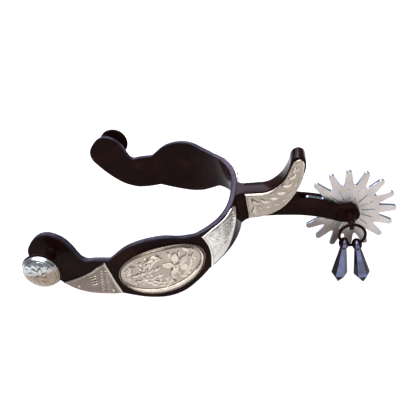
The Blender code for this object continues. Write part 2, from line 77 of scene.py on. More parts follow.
TAB_BOTTOM = (TAB_FRONT, (112.0, 14.0), (109.8, 10.0), (104.6, 2.6), (97.6, -4.2), (91.0, -7.5),
              (84.0, -8.7), NOTCH_FRONT)
LOBE_BOTTOM = (NOTCH_FRONT, (66.5, -13.0), (56.9, -15.1), (50.5, -14.6), (44.6, -12.5), NOTCH_REAR)
HEEL_BOTTOM = (NOTCH_REAR, (28.0, -8.5), (0.0, -8.5))

# Neck, shank and guard in side view (x, z)
STEEL_ROUNDING = 0.8
NECK_HALF_WIDTH = 5.0
NECK_TOP = ((2.2, 8.45), (4.2, 8.25), (6.58, 8.0))
FLARE, FLARE_START, FLARE_LENGTH = 4.2, 7.0, 4.8    # the neck widens into the band
GUARD_FRONT, GUARD_SEAT = 6.6, 1.0
SHANK_TOP = ((20.0, 0.95), (27.0, 0.7), (31.6, -0.6), (38.9, -2.7), (44.6, -4.7), (50.3, -7.7))
SHANK_BOTTOM = ((2.2, -7.9), (8.0, -6.9), (16.6, -6.9), (26.0, -8.4), (35.6, -10.6), (41.5, -12.6),
                (49.6, -16.4))
TINE_HALF_WIDTH, TAPER_START, TAPER_END, TINE_END_RADIUS = 4.4, 20.0, 31.0, 4.8
SLOT_START, SLOT_HALF_WIDTH = 31.5, 1.8
GUARD_OUTER = ((GUARD_FRONT, 8.0), (12.0, 7.5), (17.6, 7.4), (25.2, 11.6), (29.8, 18.2), (31.0, 21.2),
               (32.5, 22.6), (34.3, 22.9))
GUARD_REAR = ((26.4, GUARD_SEAT), (29.4, 2.6), (33.2, 7.6), (35.7, 12.9), (37.5, 18.4), (37.3, 21.2),
              (36.2, 22.5), (34.4, 22.9))

# Rowel, pin, ring and bobs
ROWEL_X, ROWEL_Z, ROWEL_RADIUS, ROWEL_TEETH = 54.25, -12.5, 22.2, 16
ROWEL_VALLEY, ROWEL_TIP_HALF_WIDTH, ROWEL_THICKNESS, ROWEL_FIRST_TOOTH = 14.6, 1.45, 1.8, 85.0
ROWEL_ROUNDING, ROWEL_CUT_FROM, ROWEL_CUT_TO = 0.30, 5.6, 13.2
BORE_GAP = 0.1                  # between the pin and the holes it passes through
PIN_RADIUS, PIN_HEAD_RADIUS, PIN_COLLAR_RADIUS = 1.5, 2.3, 2.1
EYE_CENTRE, EYE_RADIUS, EYE_HOLE_RADIUS, EYE_HALF_THICKNESS = (54.0, -11.6, -13.2), 2.5, 1.15, 1.1
RING_RADIUS, RING_WIRE_RADIUS = 6.0, 0.72
BOB_HEAD_RADIUS, BOB_HEAD_HALF_THICKNESS, BOB_HOLE_RADIUS = 2.9, 2.5, 1.35
BOB_LENGTH, BOB_WIDEST_AT, BOB_WIDEST_RADIUS, BOB_NECK_RADIUS = 24.2, 18.0, 3.9, 1.8
BOB_SHEEN_FACET = -90.0              # direction of the facet given a painted highlight
BOBS = {"front": (-44.0, -11.5), "rear": (17.0, 3.5)}    # place round the ring and lean, degrees

# Buttons
BUTTON_S, BUTTON_Z, BUTTON_RADIUS, BUTTON_POST_RADIUS = 101.2, 17.4, 8.4, 2.3
BUTTON_STANDOFF, BUTTON_BASE_THICKNESS, BUTTON_DOME = 10.0, 1.4, 3.7

# Silver
SILVER_THICKNESS = 0.9
SEAT_GAP = 0.02                 # a mounting stands this far off the steel
SILVER_SEAT = BAND_THICKNESS + SEAT_GAP
CONCHO_CENTRE, CONCHO_SEMI, CONCHO_DOME = (56.6, 0.6), (17.9, 11.5), 1.2
ROPE_WIDTH, ROPE_HEIGHT, ROPE_GAP, ROPE_RIDGES = 0.55, 1.05, 0.04, 130
FRONT_RIVETS = {"rear": (79.8, -5.6), "front": (95.4, -1.8)}
RIVET_RADIUS, RIVET_EDGE, RIVET_DOME = 0.62, 0.3, 0.42
ENGRAVING_STEP = 0.24           # grid spacing of engraved faces

# Floor, light and camera
FLOOR_REACH, FLOOR_DROP = 3000.0, 6.0
SOFT_BOXES = {                  # place, size, power and colour; each faces the heel seat
    "rear_box": ((-150, 415, 325), (560, 120), 1.8, (0.86, 0.72, 0.94)),
    "rear_right_box": ((60, 400, 480), (220, 80), 0.6, (0.80, 0.86, 1.0)),
    "front_box": ((-40, -380, 330), (300, 100), 0.55, (1.0, 0.99, 0.96)),
}
CEILING_STRENGTH, CEILING_SPREAD, CEILING_COLOUR = 3.0, 80.0, (0.96, 0.98, 1.0)
WORLD_STRENGTH, WORLD_COLOUR = 0.30, (0.92, 0.94, 1.0, 1.0)
CAMERA_PLACE, CAMERA_LENS = (39.55, -203.96, 132.70), 43.07
CAMERA_AZIMUTH, CAMERA_ELEVATION, CAMERA_ROLL = 14.55, 32.35, -15.57


# -------- curves
def spline(points, step):
    """Points about step apart on a smooth curve through the given ones."""
    pts = np.array(points, float)
    reach = np.r_[0, np.cumsum(np.linalg.norm(np.diff(pts, axis=0), axis=1))]
    slopes = np.gradient(pts, reach, axis=0)
    d = np.linspace(0, reach[-1], max(2, int(round(reach[-1] / step)) + 1))
    i = np.clip(np.searchsorted(reach, d, "right") - 1, 0, len(pts) - 2)
    h = (reach[i + 1] - reach[i])[:, None]
    t = (d[:, None] - reach[i][:, None]) / h
    return (pts[i] * (2 * t ** 3 - 3 * t ** 2 + 1) + pts[i + 1] * (3 * t ** 2 - 2 * t ** 3)
            + h * slopes[i] * (t ** 3 - 2 * t ** 2 + t) + h * slopes[i + 1] * (t ** 3 - t ** 2))


def resample(line, count):
    """The same line as count evenly spaced points."""
    reach = np.r_[0, np.cumsum(np.linalg.norm(np.diff(line, axis=0), axis=1))]
    even = np.linspace(0, reach[-1], count)
    return np.stack([np.interp(even, reach, line[:, k]) for k in range(line.shape[1])], 1)


def patch(bottom, top, left, right, size):
    """Grid of size points filling four edge curves; bottom and top run left to right."""
    bottom, top = resample(bottom, size[0]), resample(top, size[0])
    left, right = resample(left, size[1]), resample(right, size[1])
    u = np.linspace(0, 1, size[0])[:, None, None]
    v = np.linspace(0, 1, size[1])[None, :, None]
    corners = ((1 - u) * (1 - v) * bottom[0] + u * (1 - v) * bottom[-1]
               + (1 - u) * v * top[0] + u * v * top[-1])
    return ((1 - v) * bottom[:, None] + v * top[:, None]
            + (1 - u) * left[None] + u * right[None] - corners)


def plan_table():
    """Arc length, point and outward normal along the band's inner face, one side."""
    turn = np.linspace(0, math.pi / 2, 240)
    x = SEAT_DEPTH * (np.cos(turn) ** (2 / SEAT_EXPONENT) - 1)
    y = SEAT_HALF_WIDTH * np.sin(turn) ** (2 / SEAT_EXPONENT)
    arm = np.linspace(0.5, ARM_LENGTH, 90)
    x = np.r_[x, -SEAT_DEPTH - arm]
    y = np.r_[y, SEAT_HALF_WIDTH - ARM_CLOSING * np.minimum(arm, ARM_BEND)]
    length = np.r_[0, np.cumsum(np.hypot(np.diff(x), np.diff(y)))]
    even = np.linspace(0, length[-1], 600)
    x = np.interp(even, length, x)
    y = np.interp(even, length, y)
    dx, dy = np.gradient(x), np.gradient(y)
    size = np.hypot(dx, dy)
    return even, x, y, dy / size, -dx / size


PLAN = plan_table()


def wrap(s, z, out, side=1):
    """Points at (s, z) on one side of the band, standing out from its inner face."""
    length, x, y, nx, ny = PLAN
    s, z, out = np.broadcast_arrays(np.asarray(s, float), z, out)
    far = np.abs(s)
    flip = np.where(s < 0, -1, 1) * side
    px = np.interp(far, length, x) + out * np.interp(far, length, nx)
    py = np.interp(far, length, y) + out * np.interp(far, length, ny)
    return np.stack([px, flip * py, z], -1)


def disc_grid(rows, columns):
    """Square grid of points squeezed into a disc of radius 1."""
    u = np.linspace(-1, 1, rows)[:, None]
    v = np.linspace(-1, 1, columns)[None]
    return np.stack([u * np.sqrt(1 - v * v / 2), v * np.sqrt(1 - u * u / 2)], -1)


def smoothstep(t):
    t = np.clip(t, 0, 1)
    return t * t * (3 - 2 * t)


# -------- meshes
def new_object(name, data):
    """Object with the given data, in the scene."""
    obj = bpy.data.objects.new(name, data)
    bpy.context.scene.collection.objects.link(obj)
    return obj


def finish_mesh(name, bm, sharp=40, patina_and_sheen=None):
    """Millimetre bmesh to a smooth-shaded object; the optional per-vertex value mixes in tarnish, wear and
    painted sheen.
    """
    bmesh.ops.recalc_face_normals(bm, faces=bm.faces)
    bmesh.ops.scale(bm, verts=bm.verts, vec=(MM, MM, MM))
    mesh = bpy.data.meshes.new(name)
    bm.to_mesh(mesh)
    bm.free()
    if patina_and_sheen is not None:
        layer = mesh.attributes.new("patina_and_sheen", "FLOAT", "POINT")
        layer.data.foreach_set("value", np.asarray(patina_and_sheen, np.float32))
    mesh.shade_smooth()
    mesh.set_sharp_from_angle(angle=math.radians(sharp))
    return new_object(name, mesh)


def plate(inner, outer):
    """Closed bmesh between two grids of points; its first vertices are outer's."""
    rows, columns = outer.shape[:2]
    bm = bmesh.new()
    high = [bm.verts.new(p) for p in outer.reshape(-1, 3)]
    low = [bm.verts.new(p) for p in inner.reshape(-1, 3)]
    at = np.arange(rows * columns).reshape(rows, columns)
    for a, b, c, d in zip(at[:-1, :-1].flat, at[1:, :-1].flat, at[1:, 1:].flat, at[:-1, 1:].flat):
        bm.faces.new((high[a], high[b], high[c], high[d]))
        bm.faces.new((low[a], low[d], low[c], low[b]))
    border = np.r_[at[:-1, 0], at[-1, :-1], at[1:, -1][::-1], at[0, 1:][::-1]]
    for a, b in zip(border, np.roll(border, -1)):
        bm.faces.new((high[a], low[a], low[b], high[b]))
    return bm


def loft(rings, closed=False):
    """Body through rings of points, capped at both ends unless it closes on itself."""
    bm = bmesh.new()
    loops = [[bm.verts.new(p) for p in ring] for ring in rings]
    for a, b in zip(loops, loops[1:] + loops[:1] if closed else loops[1:]):
        for i in range(len(a)):
            j = (i + 1) % len(a)
            bm.faces.new((a[i], a[j], b[j], b[i]))
    if not closed:
        bm.faces.new(loops[0])
        bm.faces.new(loops[-1])
    return bm


def section(top, bottom, half_width, rounding):
    """Upright rounded rectangle between a top and a bottom point of the side view."""
    top, bottom = np.array(top), np.array(bottom)
    height = np.linalg.norm(top - bottom)
    radius = min(rounding, height * 0.45, half_width * 0.45)
    down = (bottom - top) / max(height, 1e-6)
    ring = []
    for corner, (sign_up, sign_out) in enumerate(((1, 1), (1, -1), (-1, -1), (-1, 1))):
        centre = np.array((sign_out * (half_width - radius), sign_up * (height / 2 - radius)))
        for a in np.linspace(corner * 90, corner * 90 + 90, 6):
            turn = math.radians(a)
            y, up = centre + radius * np.array((math.cos(turn), math.sin(turn)))
            x, z = (top + bottom) / 2 - up * down
            ring.append((x, y, z))
    return ring


def turned(profile, sides, place):
    """Body turned about local Z from (radius, height) points."""
    turns = np.linspace(0, 2 * math.pi, sides, endpoint=False)
    rings = [[place @ Vector((r * math.cos(a), r * math.sin(a), h)) for a in turns] for r, h in profile]
    return loft(rings)


def along(axis):
    """Rotation that turns local Z to the axis."""
    return Vector(axis).to_track_quat("Z", "Y").to_matrix().to_4x4()


def standing(s, z, out, side):
    """Place on the band at (s, z) whose Z axis points away from it."""
    foot = Vector(wrap(s, z, out, side))
    tip = Vector(wrap(s, z, out + 1, side))
    return Matrix.Translation(foot) @ along(tip - foot)


def boolean(obj, bm, operation):
    """Boolean modifier on obj; returns its tool body."""
    tool = finish_mesh(obj.name + "_tool", bm)
    modifier = obj.modifiers.new(operation.lower(), "BOOLEAN")
    modifier.operation = operation
    modifier.object = tool
    return tool


def apply_modifiers(obj, tools):
    """Bake the modifiers into the mesh and remove the tool bodies."""
    graph = bpy.context.evaluated_depsgraph_get()
    mesh = bpy.data.meshes.new_from_object(obj.evaluated_get(graph))
    obj.modifiers.clear()
    obj.data = mesh
    for tool in tools:
        bpy.data.objects.remove(tool)


def round_edges(obj, width, angle):
    """Bevel on the edges that are sharper than the angle."""
    bevel = obj.modifiers.new("round", "BEVEL")
    bevel.width = width * MM
    bevel.segments = 2
    bevel.limit_method = "ANGLE"
    bevel.angle_limit = math.radians(angle)
    bevel.use_clamp_overlap = True
    weighted = obj.modifiers.new("even", "WEIGHTED_NORMAL")
    weighted.keep_sharp = True


# -------- engraving
def stroke(start, heading, length, curl, steps=12):
    """Path that leaves start at a heading and turns by curl degrees along its length."""
    turn = np.radians(heading + curl * np.linspace(0, 1, steps - 1))
    move = np.stack([np.cos(turn), np.sin(turn)], 1) * length / (steps - 1)
    return np.vstack([[start], np.array(start) + np.cumsum(move, 0)])


def nearest(points, path):
    """How far along the path each point's foot is, 0 to 1, and its signed distance."""
    a, d = path[:-1], np.diff(path, axis=0)
    moves = (d ** 2).sum(1) > 1e-12
    a, d = a[moves], d[moves]
    rel = points[:, None] - a[None]
    t = np.clip((rel * d).sum(2) / (d ** 2).sum(1), 0, 1)
    gap = np.linalg.norm(rel - t[..., None] * d, axis=2)
    k = gap.argmin(1)
    row = np.arange(len(points))
    cross = d[k, 0] * rel[row, k, 1] - d[k, 1] * rel[row, k, 0]
    return (k + t[row, k]) / len(a), np.where(cross < 0, -1, 1) * gap[row, k]


class Engraving:
    """Height field over flat points: raised leaves and cut lines, in millimetres."""

    def __init__(self, points):
        self.points = points
        self.relief = np.zeros(len(points))
        self.cut_depth = np.zeros(len(points))

    def leaf(self, path, width, height=0.55, chisel=0.85):
        """Raised comma, higher along its left edge; it covers whatever lies below it."""
        frac, across = nearest(self.points, path)
        half = width * np.sin(math.pi * np.clip(0.14 + 0.86 * frac, 0, 1)) ** 0.75
        u = np.clip(across / np.maximum(half, 1e-3), -1, 1)
        slope = 1 - chisel + chisel * (u + 1) / 2
        body = smoothstep((half - np.abs(across)) / 0.16)
        self.relief = self.relief * (1 - body) + height * slope * (1 - 0.3 * frac) * body
        rim = np.exp(-((np.abs(across) - half - 0.05) / 0.15) ** 2) * (half > 0.10)
        outline = min(0.9, 0.9 * width)
        self.cut_depth = np.maximum(self.cut_depth * (1 - body), outline * rim * (1 - body))

    def cut(self, path, width=0.24, depth=0.22):
        """Graver's line, deepest in its middle and running out at both ends."""
        frac, across = nearest(self.points, path)
        half = width * np.sin(math.pi * np.clip(0.04 + 0.92 * frac, 0, 1)) ** 0.6
        depth_here = smoothstep(1 - np.abs(across) / np.maximum(half, 1e-3))
        self.relief = self.relief - depth * depth_here
        self.cut_depth = np.maximum(self.cut_depth, depth_here)

    def fan(self, root, headings, length, curl, width, height=0.55):
        """Leaves that spread from one root."""
        for heading in headings:
            self.leaf(stroke(root, heading, length, curl), width, height)

    def scroll(self, start, heading, length, curl, leaves, size):
        """Stem that curls in, with leaves along its outer side."""
        stem = stroke(start, heading, length, curl, 22)
        turn = 1 if curl < 0 else -1
        for k in range(leaves):
            spot = 1 + int((len(stem) - 4) * k / leaves)
            direction = heading + curl * spot / (len(stem) - 1)
            reach = size * (1 - 0.45 * k / leaves)
            self.leaf(stroke(stem[spot], direction + turn * 58, reach, -turn * 70), reach * 0.19)
        self.leaf(stem, size * 0.16, 0.5)


def border_distance(grid):
    """Distance of every grid point from the grid's own border."""
    flat = grid.reshape(-1, 2)
    border = np.vstack([grid[:, 0], grid[-1], grid[::-1, -1], grid[0, ::-1]])
    keep = np.r_[True, np.linalg.norm(np.diff(border, axis=0), axis=1) > 1e-6]
    return np.abs(nearest(flat, border[keep])[1])


def engraved_plate(name, grid, draw, place, ground, body_height=SILVER_THICKNESS, dome=None, line_at=0.75):
    """Mounting: rolled edge, a fine line inside it, and the drawing on a tarnished ground."""
    flat = grid.reshape(-1, 2)
    rim = border_distance(grid)
    art = Engraving(flat)
    draw(art)
    inside = smoothstep((rim - line_at) / 0.5)
    fine_line = np.exp(-((rim - line_at) / 0.17) ** 2)
    height = body_height * (0.45 + 0.55 * np.sqrt(np.clip(rim / 0.45, 0, 1)))
    height = height + art.relief * inside - 0.14 * fine_line
    if dome is not None:
        height = height + dome(flat)
    low = np.clip(1 - art.relief / 0.16, 0, 1)
    patina_and_sheen = np.clip(0.75 * fine_line + inside * np.maximum(art.cut_depth, ground * low), 0, 1)
    outer = place(grid, height.reshape(grid.shape[:2]))
    inner = place(grid, 0.0)
    return finish_mesh(name, plate(inner, outer), 50, np.r_[patina_and_sheen, np.zeros(len(flat))])


# -------- materials
class Nodes:
    """Shorthand for building a material's node tree."""

    def __init__(self, name):
        self.material = bpy.data.materials.new(name)
        self.material.use_nodes = True
        self.tree = self.material.node_tree
        self.shader = self.tree.nodes["Principled BSDF"]
        self.coords = self.add("ShaderNodeTexCoord").outputs["Object"]

    def add(self, kind, **values):
        """New node with its properties set."""
        node = self.tree.nodes.new(kind)
        for key, value in values.items():
            setattr(node, key, value)
        return node

    def link(self, source, target):
        self.tree.links.new(source, target)

    def noise(self, scale, detail=3.0, roughness=0.5, stretch=(1, 1, 1)):
        """Noise in the object's own coordinates."""
        mapping = self.add("ShaderNodeMapping")
        mapping.inputs["Scale"].default_value = stretch
        self.link(self.coords, mapping.inputs["Vector"])
        node = self.add("ShaderNodeTexNoise")
        node.inputs["Scale"].default_value = scale
        node.inputs["Detail"].default_value = detail
        node.inputs["Roughness"].default_value = roughness
        self.link(mapping.outputs["Vector"], node.inputs["Vector"])
        return node.outputs["Fac"]

    def ramp(self, factor, *stops):
        """Colour ramp through (position, colour) stops."""
        node = self.add("ShaderNodeValToRGB")
        elements = node.color_ramp.elements
        while len(elements) < len(stops):
            elements.new(0.5)
        for element, (position, colour) in zip(elements, stops):
            element.position = position
            element.color = (*colour, 1)
        self.link(factor, node.inputs["Fac"])
        return node.outputs["Color"]

    def grey(self, factor, low, high, start=0.3, end=0.7):
        """Factor from start to end mapped to low to high."""
        node = self.add("ShaderNodeMapRange")
        for key, value in (("From Min", start), ("From Max", end), ("To Min", low), ("To Max", high)):
            node.inputs[key].default_value = value
        self.link(factor, node.inputs["Value"])
        return node.outputs["Result"]

    def mix(self, factor, a, b):
        """Colour a where the factor is 0 and b where it is 1."""
        node = self.add("ShaderNodeMix", data_type="RGBA")
        self.link(factor, node.inputs["Factor"])
        for value, socket in ((a, node.inputs[6]), (b, node.inputs[7])):
            if isinstance(value, tuple):
                socket.default_value = (*value, 1)
            else:
                self.link(value, socket)
        return node.outputs[2]

    def attribute(self, name):
        return self.add("ShaderNodeAttribute", attribute_name=name).outputs["Fac"]

    def feed(self, socket, source):
        self.link(source, self.shader.inputs[socket])

    def bump(self, height, strength, distance):
        node = self.add("ShaderNodeBump")
        node.inputs["Strength"].default_value = strength
        node.inputs["Distance"].default_value = distance
        self.link(height, node.inputs["Height"])
        self.feed("Normal", node.outputs["Normal"])

    def set(self, **values):
        """Shader values by socket name, with underscores for spaces."""
        for key, value in values.items():
            self.shader.inputs[key.replace("_", " ")].default_value = value


def browned_steel():
    """Browned steel: near black with red-brown clouds; lilac bare metal on the worn band edges, partly a
    painted highlight, and on one bob facet as a painted highlight.
    """
    m = Nodes("browned_steel_finish")
    clouds = m.noise(90, 4, 0.6)
    speckle = m.noise(1400, 2)
    colour = m.ramp(clouds, (0.30, (0.0055, 0.0020, 0.0015)), (0.55, (0.0120, 0.0040, 0.0030)),
                    (0.78, (0.0260, 0.0085, 0.0060)))
    m.feed("Roughness", m.grey(speckle, 0.11, 0.20))
    # Lilac metal mixed in below: a painted highlight on a bob facet, and edge wear with a painted highlight
    # on the band's edges.
    blotch_mask = m.add("ShaderNodeMath", operation="MULTIPLY")
    m.link(m.attribute("patina_and_sheen"), blotch_mask.inputs[0])
    m.link(m.grey(m.noise(220, 3), 0.45, 1.0), blotch_mask.inputs[1])
    painted_sheen = blotch_mask.outputs["Value"]
    m.feed("Base Color", m.mix(painted_sheen, colour, (0.20, 0.225, 0.37)))
    m.feed("Metallic", painted_sheen)
    m.set(Specular_IOR_Level=0.03)
    m.bump(speckle, 0.10, 0.00005)
    return m.material


def engraved_silver(name, tone):
    """Nickel silver with tarnish left in the cuts and fine polishing marks."""
    m = Nodes(name)
    tarnish = m.noise(160, 4, 0.6)
    hairlines = m.noise(2600, 2, 0.5, (1.0, 0.25, 1.0))
    worn, polished = tuple(0.80 * c for c in tone), tuple(min(0.98, 1.2 * c) for c in tone)
    metal = m.ramp(tarnish, (0.28, worn), (0.50, tone), (0.72, polished))
    colour = m.mix(m.attribute("patina_and_sheen"), metal, (0.055, 0.036, 0.024))
    m.feed("Base Color", colour)
    m.feed("Roughness", m.grey(hairlines, 0.20, 0.34))
    m.set(Metallic=1.0)
    m.bump(hairlines, 0.12, 0.00004)
    return m.material


def button_silver():
    """Mirror-polished engraved cap with a painted reflection: bluish white on its upper half, golden below.
    """
    m = Nodes("button_silver_finish")
    blotch_mask = m.noise(260, 4, 0.6)
    # Painted reflection by height: the upper half of the cap bluish white, the lower half golden.
    height = m.add("ShaderNodeSeparateXYZ")
    m.link(m.add("ShaderNodeTexCoord").outputs["Generated"], height.inputs["Vector"])
    painted_sheen = m.grey(height.outputs["Z"], 0, 1, 0.50, 0.80)
    metal = m.mix(painted_sheen, (0.25, 0.19, 0.13), (0.80, 0.90, 0.95))
    worn = m.mix(m.grey(blotch_mask, 0, 0.6, 0.42, 0.66), metal, (0.40, 0.37, 0.32))
    colour = m.mix(m.attribute("patina_and_sheen"), worn, (0.050, 0.032, 0.024))
    m.feed("Base Color", colour)
    m.feed("Roughness", m.grey(m.noise(1500, 3), 0.10, 0.22))
    m.set(Metallic=1.0)
    return m.material


def rowel_steel():
    """Satin stainless steel with a faint grain, and painted shade darkening the lower front teeth."""
    m = Nodes("rowel_steel_finish")
    grain = m.noise(1800, 3, 0.5, (1.0, 1.0, 0.3))
    patches = m.noise(120, 3)
    metal = m.ramp(patches, (0.30, (0.42, 0.375, 0.345)), (0.70, (0.53, 0.49, 0.465)))
    # Painted shade: darker towards the lower front teeth, by place in the object.
    lean = m.add("ShaderNodeVectorMath", operation="DOT_PRODUCT")
    m.link(m.coords, lean.inputs[0])
    lean.inputs[1].default_value = (-0.6, 0, -0.8)
    shaded_metal = m.mix(m.grey(lean.outputs["Value"], 0, 0.75, -0.0160, -0.0095), metal, (0.13, 0.105, 0.09))
    colour = m.mix(m.attribute("patina_and_sheen"), shaded_metal, (0.08, 0.06, 0.05))
    m.feed("Base Color", colour)
    m.feed("Roughness", m.grey(grain, 0.30, 0.45))
    m.set(Metallic=1.0)
    m.bump(grain, 0.10, 0.00004)
    return m.material


def floor_finish():
    m = Nodes("pale_floor_finish")
    colour = m.ramp(m.noise(6, 2), (0.3, (0.90, 0.90, 0.90)), (0.7, (0.92, 0.92, 0.92)))
    m.feed("Base Color", colour)
    m.set(Roughness=0.9, Specular_IOR_Level=0.1)
    return m.material


def rowel_rim():
    """Polished rim of the rowel, tinted blue as a painted reflection."""
    m = Nodes("rowel_rim_finish")
    colour = m.ramp(m.noise(900, 3), (0.35, (0.20, 0.27, 0.36)), (0.65, (0.50, 0.60, 0.70)))
    m.feed("Base Color", colour)
    m.feed("Roughness", m.grey(m.noise(2200, 2), 0.08, 0.18))
    m.set(Metallic=1.0)
    return m.material


STEEL = browned_steel()
ROWEL_RIM = rowel_rim()
SILVER_FINISH = engraved_silver("engraved_silver_finish", (0.58, 0.50, 0.42))
# Lighter and darker copies of one silver: painted light on the rear mountings, painted shade on the front
# ones.
LIT_SILVER = engraved_silver("lit_silver_finish", (0.70, 0.67, 0.61))
SHADED_SILVER = engraved_silver("shaded_silver_finish", (0.48, 0.41, 0.35))
BUTTON_FINISH = button_silver()
ROWEL_FINISH = rowel_steel()


def dress(obj, node, finish=STEEL, body="spur_frame"):
    """Finish, body and the CAD node that the piece stands for."""
    obj.data.materials.clear()
    obj.data.materials.append(finish)
    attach(obj, body)
    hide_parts(node)


# -------- steel frame
def edge_height(outline_points, s):
    """Height at s of an edge given as (s, z) points that run one way."""
    order = np.argsort(outline_points[:, 0])
    return np.interp(s, outline_points[order, 0], outline_points[order, 1])


def band_stations():
    """Sections along one arm: even, and closer together where the tab ends."""
    reach = TAB_FRONT[0]
    even = np.arange(0, reach - 4.0, BAND_STEP)
    corners = [CUSP_REAR[0], CUSP_FRONT[0], NOTCH_REAR[0], NOTCH_FRONT[0]]
    closing = reach - 4.0 * (1 - np.sin(np.linspace(0, math.pi / 2, 14)))
    return np.unique(np.round(np.r_[even, corners, closing], 4))


def make_heel_band():
    """Both arms as one sheet of sections, rounded towards the outline by distance."""
    top = np.vstack([spline(part, 0.3) for part in (HEEL_TOP, LOBE_TOP, TAB_TOP)])
    bottom = np.vstack([spline(part, 0.3) for part in (TAB_BOTTOM, LOBE_BOTTOM, HEEL_BOTTOM)])
    s = band_stations()
    level = (1 - np.cos(np.linspace(0, math.pi, BAND_LEVELS))) / 2
    low, high = edge_height(bottom, s), edge_height(top, s)
    half = np.stack([np.repeat(s[:, None], BAND_LEVELS, 1), low[:, None] + (high - low)[:, None] * level], -1)
    rim = np.abs(nearest(half.reshape(-1, 2), np.vstack([top, bottom]))[1]).reshape(half.shape[:2])
    inset = np.clip(BAND_ROUNDING - rim, 0, BAND_ROUNDING)
    sink = BAND_ROUNDING - np.sqrt(BAND_ROUNDING ** 2 - inset ** 2)
    grid = np.concatenate([half[:0:-1] * (-1, 1), half])
    sink = np.concatenate([sink[:0:-1], sink])
    # Edge wear, partly a painted highlight: the band's edges take the steel's lilac metal.
    worn = EDGE_WEAR_AND_SHEEN * np.exp(-rim / 0.2)
    worn = np.tile(np.concatenate([worn[:0:-1], worn]).ravel(), 2)
    inner = wrap(grid[..., 0], grid[..., 1], sink)
    outer = wrap(grid[..., 0], grid[..., 1], BAND_THICKNESS - sink)
    obj = finish_mesh("heel_band_steel", plate(inner, outer), 60, worn)
    dress(obj, "heel_band")


def shank_half_width(x):
    """Half width of the neck and shank: flared at the band, tapered to the tines."""
    taper = np.interp(x, (TAPER_START, TAPER_END), (NECK_HALF_WIDTH, TINE_HALF_WIDTH))
    reach = np.clip((FLARE_START - x) / FLARE_LENGTH, 0, 1)
    return taper + FLARE * (1 - np.sqrt(1 - reach ** 2))


def make_shank():
    """Neck, notched for the guard, then the drooping shank, forked round the rowel."""
    notch = GUARD_SEAT - 0.05
    top = np.vstack([spline(NECK_TOP, 0.36), (GUARD_FRONT, notch), (13.0, notch), spline(SHANK_TOP, 1.0)])
    low = spline(SHANK_BOTTOM, 0.3)
    bottom = np.array([(x, np.interp(x, low[:, 0], low[:, 1])) for x in top[:-2, 0]])
    bottom = np.vstack([bottom, resample(np.vstack([bottom[-1], low[-1]]), 3)[1:]])
    turns = np.linspace(74, 2, 9)
    pivot = np.array((ROWEL_X, ROWEL_Z - 0.3))
    end = np.array([(math.cos(a), math.sin(a)) for a in np.radians(turns)]) * TINE_END_RADIUS + pivot
    under = np.array([(math.cos(a), math.sin(a)) for a in np.radians(-turns - 12)]) * TINE_END_RADIUS + pivot
    rings = [section(t, b, shank_half_width(t[0]), STEEL_ROUNDING)
             for t, b in zip(np.vstack([top, end]), np.vstack([bottom, under]))]
    obj = finish_mesh("shank_steel", loft(rings))
    slot = [(SLOT_START + SLOT_HALF_WIDTH * (1 - math.cos(a)), SLOT_HALF_WIDTH * math.sin(a))
            for a in np.linspace(-math.pi / 2, math.pi / 2, 17)]
    slot = [(ROWEL_X + 12, -SLOT_HALF_WIDTH)] + slot + [(ROWEL_X + 12, SLOT_HALF_WIDTH)]
    bore = PIN_RADIUS + BORE_GAP
    drill = Matrix.Translation((ROWEL_X, 0, ROWEL_Z)) @ along((0, 1, 0))
    tools = [boolean(obj, loft([[(x, y, z) for x, y in slot] for z in (-30, 10)]), "DIFFERENCE"),
             boolean(obj, turned([(bore, -8), (bore, 8)], 40, drill), "DIFFERENCE")]
    round_edges(obj, 0.35, 50)
    apply_modifiers(obj, tools)
    dress(obj, "shank")


def make_guard():
    """Upswept guard: its foot sits in the neck's notch, its tip is rounded over."""
    count = 44
    foot = np.linspace((GUARD_FRONT, GUARD_SEAT), GUARD_REAR[0], 12)
    rear = resample(np.vstack([foot, spline(GUARD_REAR, 0.5)]), count)
    outer = resample(spline(GUARD_OUTER, 0.5), count)
    rings = [section(t, b, NECK_HALF_WIDTH, STEEL_ROUNDING) for t, b in zip(outer, rear)]
    obj = finish_mesh("chap_guard_steel", loft(rings), 60)
    dress(obj, "chap_guard")


# -------- silver
def counts(length, width):
    """How many grid points an engraved face needs each way."""
    return max(8, int(length / ENGRAVING_STEP)), max(6, int(width / ENGRAVING_STEP))


def band_place(side):
    """Function that wraps a flat grid of heights onto the band's outer face."""
    return lambda grid, height: wrap(grid[..., 0], grid[..., 1], SILVER_SEAT + height, side)


def guard_place(side):
    """Function that stands a flat grid of heights on the side of the neck and guard."""
    def place(grid, height):
        across = side * (NECK_HALF_WIDTH + SEAT_GAP + height) * np.ones(grid.shape[:2])
        return np.stack([grid[..., 0], across, grid[..., 1]], -1)
    return place


def draw_front(art):
    """Herringbone hanging from the apex, and a short ladder of leaves beside it."""
    for k in range(8):
        drop = 1.45 * k
        root = (80.3 + 0.235 * drop, 6.4 - drop)
        art.leaf(stroke((root[0] - 0.25, root[1]), -124, 2.0 + 0.24 * k, -22), 0.44, 0.6)
        art.leaf(stroke((root[0] + 0.45, root[1]), -36, 2.0 + 0.24 * k, -16), 0.36, 0.45)
    for k in range(4):
        art.leaf(stroke((85.2 + 0.26 * k, 3.1 - 1.45 * k), -6, 3.2, -16), 0.60, 0.6)
    for k in range(6):
        art.cut(stroke((90.2 + 1.4 * k, 2.6 - 0.4 * k), -64, 3.4 - 0.4 * k, -24), 0.16, 0.16)


